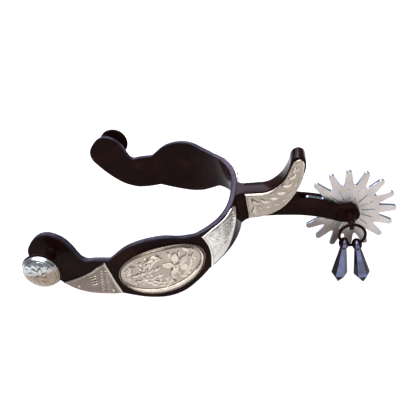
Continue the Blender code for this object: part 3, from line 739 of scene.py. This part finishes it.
def draw_rear(art):
    """Long nested feather cuts below the top edge, and a fan of leaves at the fork."""
    for k in range(6):
        art.leaf(stroke((15.2 + 0.9 * k, 6.9 - 1.25 * k), -10 - 3 * k, 13.0 - 1.0 * k, 40), 0.52, 0.50)
    art.fan((34.2, 6.9), (-176, -160, -144, -128, -112), 6.4, -30, 0.66, 0.5)
    art.fan((33.6, 0.2), (-166, -142, -118, -94), 4.6, 26, 0.62, 0.5)
    art.fan((27.6, -1.4), (-150, -120, -90, -60), 3.2, 26, 0.5, 0.45)


def draw_guard(art):
    """Running scroll up the crescent: bold commas with small leaves between them."""
    places = ((10.4, 4.6, -84), (14.4, 4.0, -70), (18.4, 4.4, -54), (22.2, 6.2, -38), (25.6, 9.2, -22),
              (28.6, 13.0, -6))
    for s, z, heading in places:
        art.leaf(stroke((s, z), heading, 5.4, 96), 0.86, 0.70)
        art.leaf(stroke((s + 1.6, z - 4.6), heading + 36, 2.8, 60), 0.50, 0.5)
    art.fan((9.0, -2.4), (-40, 0, 40), 3.4, 40, 0.6)
    art.fan((31.8, 15.6), (40, 70, 100), 3.6, 24, 0.62)


def draw_concho(art):
    """Open flower with acanthus scrolls sweeping forward, above a plain crescent rim."""
    cs, cz = CONCHO_CENTRE
    field = (cs + 0.45, cz + 1.1)
    semi = (CONCHO_SEMI[0] - 0.85, CONCHO_SEMI[1] - 1.5)
    flower = (cs - 6.4, cz + 1.9)
    for k in range(20):
        turn = math.radians(18 * k)
        place = (field[0] + 0.86 * semi[0] * math.cos(turn), field[1] + 0.82 * semi[1] * math.sin(turn))
        art.leaf(stroke(place, 18 * k + 130, 3.4, 70), 0.56, 0.6)
    for k in range(9):
        place = (cs - 9.0 + 2.6 * k, cz - 4.6 + 0.9 * math.cos(k))
        art.leaf(stroke(place, 60, 3.0, 80), 0.56, 0.6)
    for k in range(5):
        turn = math.radians(24 + 72 * k)
        root = (flower[0] + 0.9 * math.cos(turn), flower[1] + 0.9 * math.sin(turn))
        art.leaf(stroke(root, 24 + 72 * k - 24, 5.4, 48), 1.55, 0.80)
    for k in range(5):
        art.leaf(stroke(flower, 60 + 72 * k - 10, 3.0, 20), 0.60, 0.5)
    centre = np.hypot(art.points[:, 0] - flower[0], art.points[:, 1] - flower[1])
    art.relief = np.maximum(art.relief, 0.9 * np.sqrt(np.clip(1 - (centre / 1.25) ** 2, 0, 1)))
    art.scroll((cs - 3.0, cz - 6.0), -4, 22.0, 140, 8, 5.6)
    art.scroll((cs - 1.4, cz + 6.9), 2, 15.5, -150, 6, 4.8)
    art.scroll((cs - 5.4, cz - 3.8), 192, 12.5, -130, 5, 4.2)
    for k in range(4):
        art.leaf(stroke((cs + 0.4 + 2.9 * k, cz + 3.4 - 0.5 * k), -50, 4.8, 84), 0.86, 0.74)
        art.leaf(stroke((cs + 0.0 + 2.9 * k, cz - 0.9 - 0.3 * k), -40, 4.0, 84), 0.72, 0.68)
    art.fan((cs - 11.8, cz + 5.4), (170, 138, 106, 74), 4.0, -24, 0.78)
    art.fan((cs + 12.2, cz + 2.4), (74, 42, 10, -22), 3.6, 30, 0.68)
    reach = np.hypot((art.points[:, 0] - field[0]) / semi[0], (art.points[:, 1] - field[1]) / semi[1])
    rim = smoothstep((reach - 1.0) / 0.03)
    step_line = np.exp(-((reach - 0.985) / 0.017) ** 2)
    art.relief = art.relief * (1 - rim) + 0.50 * rim - 0.12 * step_line
    art.cut_depth = np.maximum(art.cut_depth * (1 - rim), 0.95 * step_line)


def concho_grid():
    """Oval of engraving points."""
    semi = np.array(CONCHO_SEMI)
    return CONCHO_CENTRE + semi * disc_grid(*counts(2 * semi[0], 2 * semi[1]))


def concho_dome(flat):
    """Height of the concho's dome at flat points."""
    x, y = ((flat - CONCHO_CENTRE) / CONCHO_SEMI).T
    return CONCHO_DOME * np.clip(1 - x * x - y * y, 0, 1)


def front_grid():
    """Rounded triangle that narrows to a point under the tab."""
    top = spline(((78.7, 9.9), (82.4, 8.2), (86.6, 5.6), (91.0, 3.9), (96.2, 2.2), (102.4, 0.9)), 0.3)
    low = spline(((76.3, -8.2), (84.0, -7.9), (91.0, -6.8), (97.6, -3.5), (102.4, 0.9)), 0.3)
    left = spline((low[0], (77.3, -2.3), (77.8, 3.0), top[0]), 0.3)
    right = np.array([top[-1], top[-1] + (0, 0.02)])
    return patch(low, top, left, right, counts(26, 17))


def rear_grid():
    """Fishtail between the concho and the neck."""
    top = spline(((12.2, 6.9), (15.0, 8.0), (24.0, 8.4), (33.0, 9.0), (37.4, 8.6)), 0.3)
    low = spline(((12.4, 6.3), (13.4, 4.0), (15.6, 1.0), (18.6, -1.4), (22.4, -3.8), (27.0, -6.2),
                  (31.6, -7.6), (37.0, -8.6)), 0.3)
    left = np.array([low[0], top[0]])
    right = spline((low[-1], (35.7, -2.6), (35.7, 2.0), top[-1]), 0.3)
    return patch(low, top, left, right, counts(27, 16))


def guard_grid():
    """Crescent up the side of the neck and guard."""
    top = spline(((7.1, 7.5), (12.0, 7.0), (17.7, 6.9), (25.8, 11.3), (30.4, 18.0), (32.2, 20.9),
                  (33.7, 21.7)), 0.3)
    low = spline(((6.5, -6.4), (13.0, -6.3), (22.2, -3.4), (30.3, 3.9), (34.9, 12.2), (36.8, 18.8)), 0.3)
    left = np.array([low[0], top[0]])
    right = spline((low[-1], (36.2, 20.9), (35.1, 21.8), top[-1]), 0.2)
    return patch(low, top, left, right, counts(42, 13))


def make_mountings(label, side):
    """The engraved pieces of one side, each with its finish and how dark its ground is; the front's darker
    silver and ground are painted shade, the rear's lighter ones painted light.
    """
    pieces = (("front_mounting", SHADED_SILVER, 0.76, front_grid(), draw_front, band_place(side)),
              ("rear_mounting", LIT_SILVER, 0.12, rear_grid(), draw_rear, band_place(side)),
              ("guard_mounting", SILVER_FINISH, 0.50, guard_grid(), draw_guard, guard_place(side)),
              ("concho", SILVER_FINISH, 0.42, concho_grid(), draw_concho, band_place(side)))
    for kind, finish, ground, grid, draw, place in pieces:
        node = f"{label}_{kind}"
        dome, line_at = (concho_dome, 0.35) if kind == "concho" else (None, 0.75)
        obj = engraved_plate(node + "_silver", grid, draw, place, ground, dome=dome, line_at=line_at)
        dress(obj, node, finish)


def rope_point(turn, off, up, side):
    """Point beside the concho's edge, off from it and up from the band."""
    s = CONCHO_CENTRE[0] + (CONCHO_SEMI[0] + off) * math.cos(turn)
    z = CONCHO_CENTRE[1] + (CONCHO_SEMI[1] + off) * math.sin(turn)
    return wrap(s, z, SILVER_SEAT + up, side)


def make_rope(label, side):
    """Milled wire round the concho: slanting ridges all the way round."""
    rings, patina_and_sheen = [], []
    for turn in np.linspace(0, 2 * math.pi, ROPE_RIDGES * 4, endpoint=False):
        ring = []
        for a in np.linspace(0, math.pi, 7):
            ridge = 0.5 + 0.5 * math.cos(ROPE_RIDGES * turn - 1.2 * math.cos(a))
            grow = 0.86 + 0.14 * ridge
            off = ROPE_GAP + ROPE_WIDTH / 2 - ROPE_WIDTH / 2 * math.cos(a) * grow
            ring.append(rope_point(turn, off, ROPE_HEIGHT * (0.25 + 0.75 * math.sin(a)) * grow, side))
            patina_and_sheen.append(0.30 + 0.55 * (1 - ridge))
        for off in (ROPE_GAP + ROPE_WIDTH, ROPE_GAP):
            ring.append(rope_point(turn, off, 0.0, side))
            patina_and_sheen.append(0.3)
        rings.append(ring)
    node = label + "_concho_rope"
    obj = finish_mesh(node + "_silver", loft(rings, True), 60, patina_and_sheen)
    dress(obj, node, SILVER_FINISH)


def make_rivets(label, side):
    """Low domed rivets at both ends of the front mounting."""
    profile = [(RIVET_RADIUS, 0), (RIVET_RADIUS, RIVET_EDGE)]
    profile += [(RIVET_RADIUS * math.cos(a), RIVET_EDGE + RIVET_DOME * math.sin(a))
                for a in np.radians((25, 50, 72, 86))]
    for end, (s, z) in FRONT_RIVETS.items():
        node = f"{label}_mounting_rivet_{end}"
        place = standing(s, z, SILVER_SEAT + SILVER_THICKNESS - 0.2, side)
        obj = finish_mesh(node + "_silver", turned(profile, 20, place), 50)
        dress(obj, node, SILVER_FINISH)


# -------- buttons
def draw_button(art):
    """Rosette of eight leaves inside a ring of small ones."""
    for k in range(8):
        art.leaf(stroke((0, 0), 45 * k, 4.6, 38), 1.0, 0.34, 0.6)
    for k in range(16):
        turn = math.radians(22.5 * k)
        root = (5.0 * math.cos(turn), 5.0 * math.sin(turn))
        art.leaf(stroke(root, 22.5 * k + 20, 1.7, 30), 0.42, 0.24)
    reach = np.hypot(art.points[:, 0], art.points[:, 1])
    art.relief = np.maximum(art.relief, 0.5 * np.sqrt(np.clip(1 - (reach / 0.9) ** 2, 0, 1)))
    ring = np.exp(-((reach - 6.85) / 0.14) ** 2)
    art.relief = art.relief - 0.12 * ring
    art.cut_depth = np.maximum(art.cut_depth, ring)


def make_button_steel(label, place):
    """Button's post, spread at both ends, and the dark disc under its cap."""
    post, base, rim = BUTTON_POST_RADIUS, BUTTON_STANDOFF, BUTTON_RADIUS
    top = base + BUTTON_BASE_THICKNESS
    turned_parts = {
        "post": (40, [(post + 1.1, 0.02), (post + 0.4, 0.5), (post, 1.4), (post, base - 1.7),
                      (post + 0.3, base - 0.7), (post + 1.0, base - 0.05)]),
        "base": (64, [(rim - 1.7, base), (rim - 0.7, base + 0.15), (rim - 0.2, base + 0.5), (rim, base + 0.9),
                      (rim - 0.08, top - 0.15), (rim - 0.35, top)]),
    }
    for part, (sides, profile) in turned_parts.items():
        node = f"{label}_button_{part}"
        obj = finish_mesh(node + "_steel", turned(profile, sides, place), 45)
        dress(obj, node)


def make_button_cap(label, place):
    """Domed silver cap, engraved as a flat disc and then set on the button."""
    rim = BUTTON_RADIUS - 0.5
    seat = BUTTON_STANDOFF + BUTTON_BASE_THICKNESS + SEAT_GAP

    def lift(flat):
        reach = np.hypot(flat[:, 0], flat[:, 1]) / rim
        return BUTTON_DOME * np.sqrt(np.clip(1 - 0.93 * reach ** 2, 0, 1)) - 0.5

    def set_down(points, height):
        local = np.concatenate([points, (seat + height * np.ones(points.shape[:2]))[..., None]], -1)
        return local @ np.array(place.to_3x3()).T + np.array(place.translation)

    obj = engraved_plate(label + "_button_cap_silver", rim * disc_grid(66, 66), draw_button, set_down, 0.08,
                         0.5, lift, 0.35)
    dress(obj, label + "_button_cap", BUTTON_FINISH)


def make_button(label, side):
    """Strap button on a tab."""
    place = standing(BUTTON_S, BUTTON_Z, BAND_THICKNESS, side)
    make_button_steel(label, place)
    make_button_cap(label, place)


# -------- rowel and jingles
def rowel_outline():
    """Points round the star: a rounded tip and a shallow valley for each tooth."""
    points = []
    pitch = 2 * math.pi / ROWEL_TEETH
    centre = ROWEL_RADIUS - ROWEL_TIP_HALF_WIDTH
    for k in range(ROWEL_TEETH):
        middle = math.radians(ROWEL_FIRST_TOOTH) + k * pitch
        out = np.array((math.cos(middle), math.sin(middle)))
        across = np.array((-out[1], out[0]))
        for a in np.radians(np.arange(-6, 187, 16)):
            reach = centre + ROWEL_TIP_HALF_WIDTH * math.sin(a)
            points.append(reach * out - ROWEL_TIP_HALF_WIDTH * math.cos(a) * across)
        for step in (0.37, 0.42, 0.46, 0.50, 0.54, 0.58, 0.63):
            dip = 1.0 - ((step - 0.5) / 0.13) ** 2
            turn = middle + step * pitch
            points.append(np.array((math.cos(turn), math.sin(turn))) * (ROWEL_VALLEY + 0.5 - 0.9 * dip))
    return np.array(points)


def rowel_section(point, off):
    """Points and cut depths round the rowel's section, from one outline point to the hub.

    off is the angle to the middle of the nearest tooth, where a radial cut runs.
    """
    half, inset, hub = ROWEL_THICKNESS / 2, ROWEL_ROUNDING, PIN_RADIUS + BORE_GAP
    reach = math.hypot(*point)
    unit = point / reach
    column = []
    for side in (-1, 1):
        line = [(point - unit * d, y * side, 0.0) for d, y in ((0.0, half - inset), (0.09, half - 0.09),
                                                               (inset, half))]
        for t in np.linspace(0.97, 0.02, 44):
            here = hub + (reach - inset - hub) * t
            ends = smoothstep((here - ROWEL_CUT_FROM) / 0.8) * smoothstep((ROWEL_CUT_TO - here) / 2.5)
            cut = float(ends * smoothstep(1 - off * here / 0.30))
            line.append((unit * here, side * (half - 0.22 * cut), cut))
        line.append((unit * hub, side * (half - 0.15), 0.0))
        column += line if side < 0 else line[::-1]
    return column


def make_rowel():
    """Star disc with rounded rims and a short radial cut towards each tooth."""
    pitch = 2 * math.pi / ROWEL_TEETH
    rings, patina_and_sheen = [], []
    for point in rowel_outline():
        off = (math.atan2(point[1], point[0]) - math.radians(ROWEL_FIRST_TOOTH)) % pitch
        column = rowel_section(point, min(off, pitch - off))
        rings.append([(ROWEL_X + p[0], y, ROWEL_Z + p[1]) for p, y, _ in column])
        patina_and_sheen += [cut for _, _, cut in column]
    obj = finish_mesh("rowel_star", loft(rings, True), 40, patina_and_sheen)
    dress(obj, "rowel", ROWEL_FINISH, "rowel_wheel")
    obj.data.materials.append(ROWEL_RIM)
    for face in obj.data.polygons:
        middle = math.hypot(face.center.x / MM - ROWEL_X, face.center.z / MM - ROWEL_Z)
        face.material_index = int(abs(face.normal.y) < 0.85 and middle > 8)


def make_pin():
    """Rowel pin: peened on the far side, drawn out into an eye on the near side."""
    face = TINE_HALF_WIDTH + 0.03
    eye_y = EYE_CENTRE[1]
    profile = [(PIN_HEAD_RADIUS * 0.35, face + 1.55), (PIN_HEAD_RADIUS * 0.75, face + 1.35),
               (PIN_HEAD_RADIUS, face + 0.8), (PIN_HEAD_RADIUS, face), (PIN_RADIUS, face),
               (PIN_RADIUS, -face), (PIN_COLLAR_RADIUS, -face), (PIN_COLLAR_RADIUS, -7.6),
               (PIN_RADIUS + 0.35, eye_y + 2.4), (PIN_RADIUS + 0.2, eye_y + 1.2)]
    place = Matrix.Translation((ROWEL_X, 0, ROWEL_Z)) @ Matrix.Rotation(-math.pi / 2, 4, "X")
    obj = finish_mesh("rowel_pin_steel", turned(profile, 40, place))
    middle = Matrix.Translation(EYE_CENTRE) @ along((1, 0, 0))
    h = EYE_HALF_THICKNESS
    eye = [(EYE_RADIUS - 0.7, -h), (EYE_RADIUS - 0.15, -h + 0.35), (EYE_RADIUS, 0),
           (EYE_RADIUS - 0.15, h - 0.35), (EYE_RADIUS - 0.7, h)]
    tools = [boolean(obj, turned(eye, 48, middle), "UNION"),
             boolean(obj, turned([(EYE_HOLE_RADIUS, -4), (EYE_HOLE_RADIUS, 4)], 36, middle), "DIFFERENCE")]
    round_edges(obj, 0.18, 45)
    apply_modifiers(obj, tools)
    dress(obj, "rowel_pin")


def ring_centre():
    return Vector(EYE_CENTRE) - Vector((0, 0, RING_RADIUS))


def make_ring():
    """Round wire ring that hangs in the pin's eye."""
    rings = []
    for turn in np.linspace(0, 2 * math.pi, 96, endpoint=False):
        radial = Vector((math.cos(turn), 0, math.sin(turn)))
        rings.append([ring_centre() + radial * (RING_RADIUS + RING_WIRE_RADIUS * math.cos(a))
                      + Vector((0, RING_WIRE_RADIUS * math.sin(a), 0))
                      for a in np.linspace(0, 2 * math.pi, 20, endpoint=False)])
    obj = finish_mesh("jingle_ring_steel", loft(rings, True), 60)
    dress(obj, "jingle_ring", body="ring")


def bob_drop(place):
    """Six-sided drop with softened edges."""
    levels = ((BOB_NECK_RADIUS, -BOB_HEAD_RADIUS * 0.75), (BOB_NECK_RADIUS * 0.94, -BOB_HEAD_RADIUS - 0.5),
              (BOB_WIDEST_RADIUS, -BOB_WIDEST_AT), (BOB_WIDEST_RADIUS * 0.97, -BOB_WIDEST_AT - 0.8),
              (0.35, -BOB_LENGTH))
    bm = turned(levels, 6, place)
    bmesh.ops.bevel(bm, geom=[e for e in bm.edges if e.calc_face_angle(0) > 0.3], offset=0.16, segments=2,
                    profile=0.5, affect="EDGES", clamp_overlap=True)
    return bm


def bob_head(place):
    """Round head, a little flatter along the ring's wire."""
    flatten = Matrix.Scale(BOB_HEAD_HALF_THICKNESS / BOB_HEAD_RADIUS, 4, (1, 0, 0))
    profile = [(BOB_HEAD_RADIUS * math.cos(a), BOB_HEAD_RADIUS * math.sin(a))
               for a in np.radians(np.arange(84, -85, -12))]
    return turned(profile, 36, place @ flatten)


def paint_bob_sheen(obj, lean):
    """Painted highlight: one facet of a bob takes the steel's lilac sheen."""
    painted_sheen = obj.data.attributes.new("patina_and_sheen", "FLOAT", "FACE")
    for face in obj.data.polygons:
        forward = face.normal.x * math.cos(lean) + face.normal.z * math.sin(lean)
        turn = math.degrees(math.atan2(face.normal.y, forward))
        painted_sheen.data[face.index].value = 0.85 * (abs(turn - BOB_SHEEN_FACET) < 22 and face.normal.z > -0.2)


def make_bob(name, place_angle, lean):
    """Jingle bob: a drop under a head that is drilled for the ring's wire."""
    place_angle, lean = math.radians(place_angle), math.radians(lean)
    eye = ring_centre() + RING_RADIUS * Vector((math.sin(place_angle), 0, -math.cos(place_angle)))
    place = Matrix.Translation(eye) @ Matrix.Rotation(-lean, 4, "Y")
    drill = Matrix.Translation(eye) @ along((math.cos(place_angle), 0, math.sin(place_angle)))
    obj = finish_mesh(f"jingle_bob_{name}_steel", bob_drop(place), 30)
    tools = [boolean(obj, bob_head(place), "UNION"),
             boolean(obj, turned([(BOB_HOLE_RADIUS, -5), (BOB_HOLE_RADIUS, 5)], 32, drill), "DIFFERENCE")]
    apply_modifiers(obj, tools)
    obj.data.shade_smooth()
    obj.data.set_sharp_from_angle(angle=math.radians(24))
    paint_bob_sheen(obj, lean)
    dress(obj, "jingle_bob_" + name, body="bob_" + name)


# -------- stage
def make_floor():
    """Pale floor just below the bobs."""
    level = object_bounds()[0][2] / MM - FLOOR_DROP
    bm = bmesh.new()
    bm.faces.new([bm.verts.new((x * FLOOR_REACH, y * FLOOR_REACH, level))
                  for x, y in ((-1, -1), (1, -1), (1, 1), (-1, 1))])
    floor = finish_mesh("floor", bm)
    floor.data.materials.append(floor_finish())


def soft_box(name, place, size, power, colour):
    """Rectangular soft light."""
    light = bpy.data.lights.new(name, "AREA")
    light.shape = "RECTANGLE"
    light.size, light.size_y = size[0] * MM, size[1] * MM
    light.energy = power
    light.color = colour
    new_object(name, light).matrix_world = Matrix.Translation(Vector(place) * MM) @ along(place)


def make_light():
    """Soft boxes, a wide pale ceiling and a dim studio round them."""
    for name, values in SOFT_BOXES.items():
        soft_box(name, *values)
    sky = bpy.data.lights.new("ceiling", "SUN")
    sky.energy = CEILING_STRENGTH
    sky.angle = math.radians(CEILING_SPREAD)
    sky.color = CEILING_COLOUR
    new_object("ceiling", sky)
    world = bpy.data.worlds.new("studio")
    world.use_nodes = True
    background = world.node_tree.nodes["Background"]
    background.inputs["Color"].default_value = WORLD_COLOUR
    background.inputs["Strength"].default_value = WORLD_STRENGTH
    bpy.context.scene.world = world
    bpy.context.scene.view_settings.view_transform = "Standard"


def make_camera():
    """Camera above the near side, looking down and forward, slightly rolled."""
    azimuth, elevation, roll = (math.radians(v) for v in (CAMERA_AZIMUTH, CAMERA_ELEVATION, CAMERA_ROLL))
    forward = Vector((-math.sin(azimuth) * math.cos(elevation), math.cos(azimuth) * math.cos(elevation),
                      -math.sin(elevation)))
    level = Vector((math.cos(azimuth), math.sin(azimuth), 0))
    upright = level.cross(forward)
    right = level * math.cos(roll) + upright * math.sin(roll)
    up = upright * math.cos(roll) - level * math.sin(roll)
    data = bpy.data.cameras.new("camera")
    data.lens = CAMERA_LENS
    data.sensor_width = 36
    data.clip_start = 0.01
    camera = new_object("camera", data)
    turn = Matrix((right, up, -forward)).transposed().to_4x4()
    camera.matrix_world = Matrix.Translation(Vector(CAMERA_PLACE) * MM) @ turn
    bpy.context.scene.camera = camera


make_camera()
make_heel_band()
make_shank()
make_guard()
for label, side in (("left", -1), ("right", 1)):
    make_mountings(label, side)
    make_rope(label, side)
    make_rivets(label, side)
    make_button(label, side)
make_rowel()
make_pin()
make_ring()
for name, (place_angle, lean) in BOBS.items():
    make_bob(name, place_angle, lean)
make_floor()
make_light()
